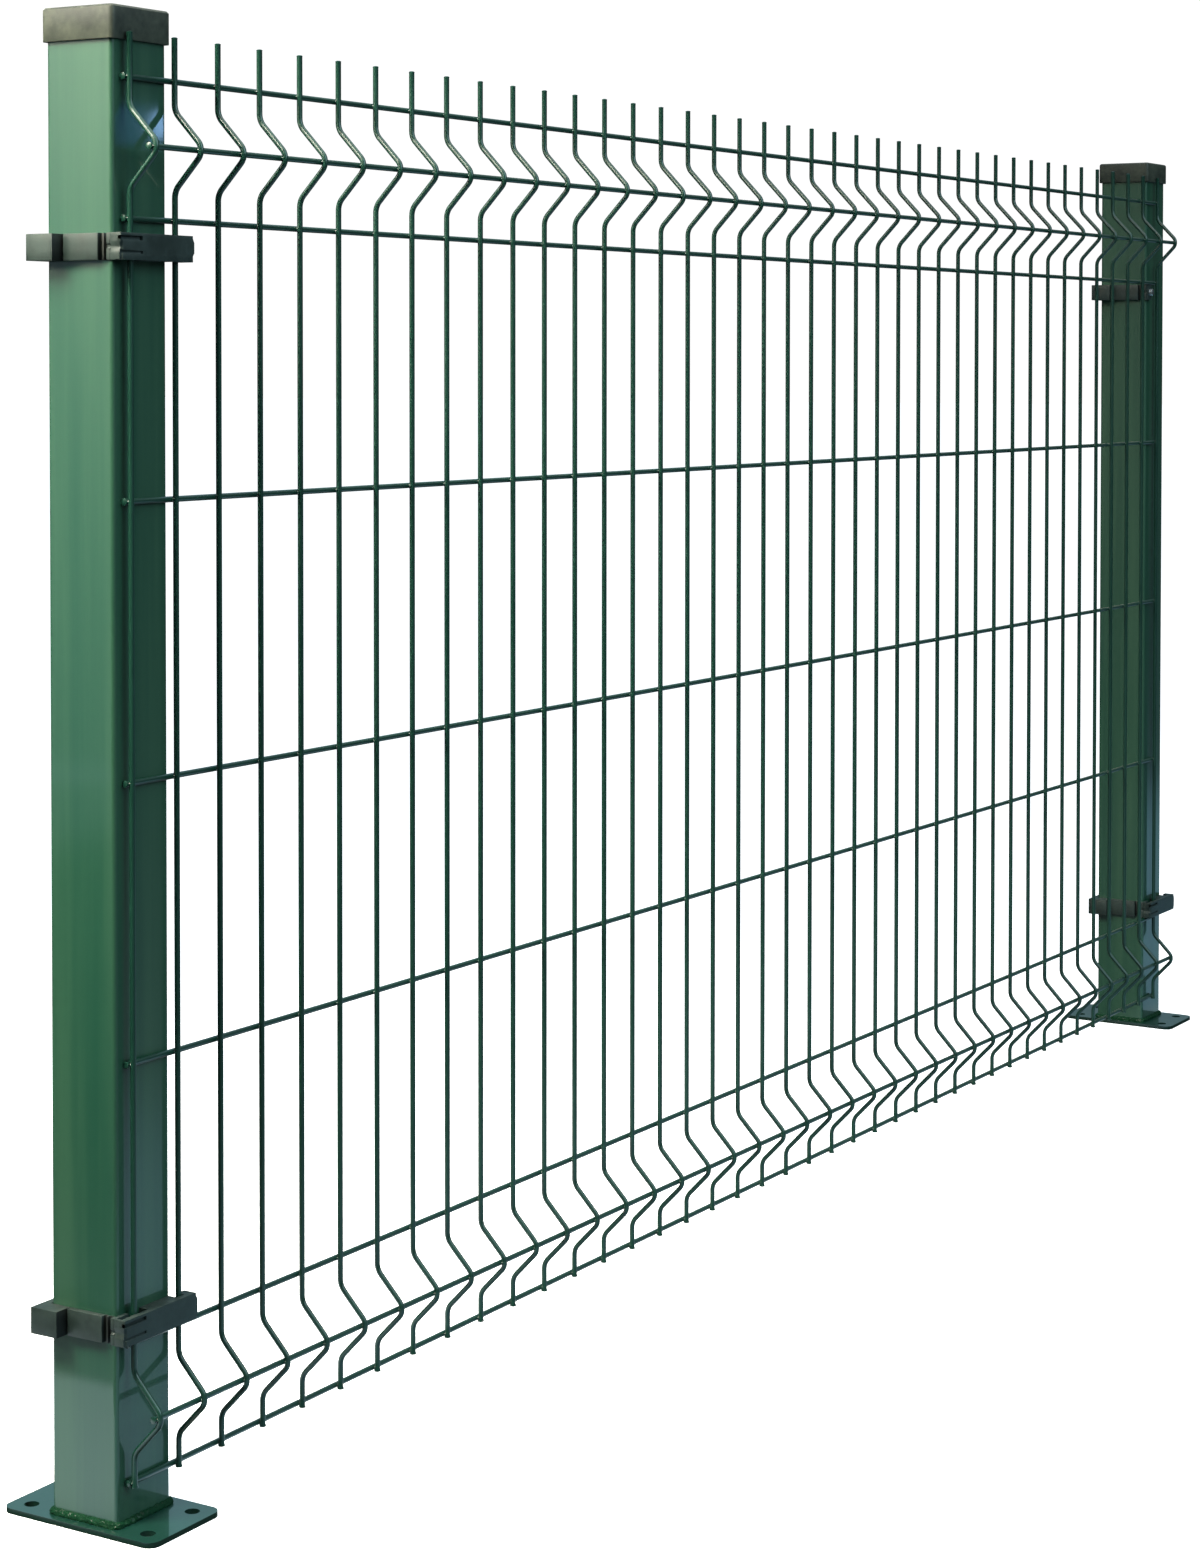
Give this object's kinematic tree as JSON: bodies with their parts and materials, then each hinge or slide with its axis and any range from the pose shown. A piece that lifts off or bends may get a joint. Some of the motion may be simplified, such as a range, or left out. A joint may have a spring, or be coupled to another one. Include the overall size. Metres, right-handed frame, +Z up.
{
  "type": "fence panel",
  "caption": "Green welded-mesh fence panel with two V folds, clamped to two square steel posts with flanged feet and plastic caps",
  "frame": {"origin": "centre of the underside of the left foot plate", "axes": "+Z up, +X along the fence to the right-hand post, +Y to the back; the mesh and its folds are on the -Y side"},
  "size_m": [2.0815, 0.14, 1.084],
  "materials": {
    "coated_post": "glossy polyester powder coat, moss green",
    "coated_plate": "glossy polyester powder coat, moss green",
    "coated_weld": "powder coated weld bead, moss green",
    "coated_wire": "powder coated galvanised wire, dark green",
    "plastic_cap": "matt moulded plastic, dark grey green",
    "plastic_clamp": "matt moulded plastic, dark grey green",
    "zinc": "zinc plated steel"
  },
  "bodies": {
    "root": {"left_foot_plate": "coated_plate", "left_foot_weld": "coated_weld", "left_post": "coated_post", "left_post_cap": "plastic_cap", "left_lower_clamp_yoke": "plastic_clamp", "left_lower_clamp_bolt": "zinc", "left_lower_clamp_bar": "plastic_clamp", "left_upper_clamp_yoke": "plastic_clamp", "left_upper_clamp_bolt": "zinc", "left_upper_clamp_bar": "plastic_clamp", "right_foot_plate": "coated_plate", "right_foot_weld": "coated_weld", "right_post": "coated_post", "right_post_cap": "plastic_cap", "right_lower_clamp_yoke": "plastic_clamp", "right_lower_clamp_bolt": "zinc", "right_lower_clamp_bar": "plastic_clamp", "right_upper_clamp_yoke": "plastic_clamp", "right_upper_clamp_bolt": "zinc", "mesh_panel": "coated_wire"}
  },
  "joints": []
}
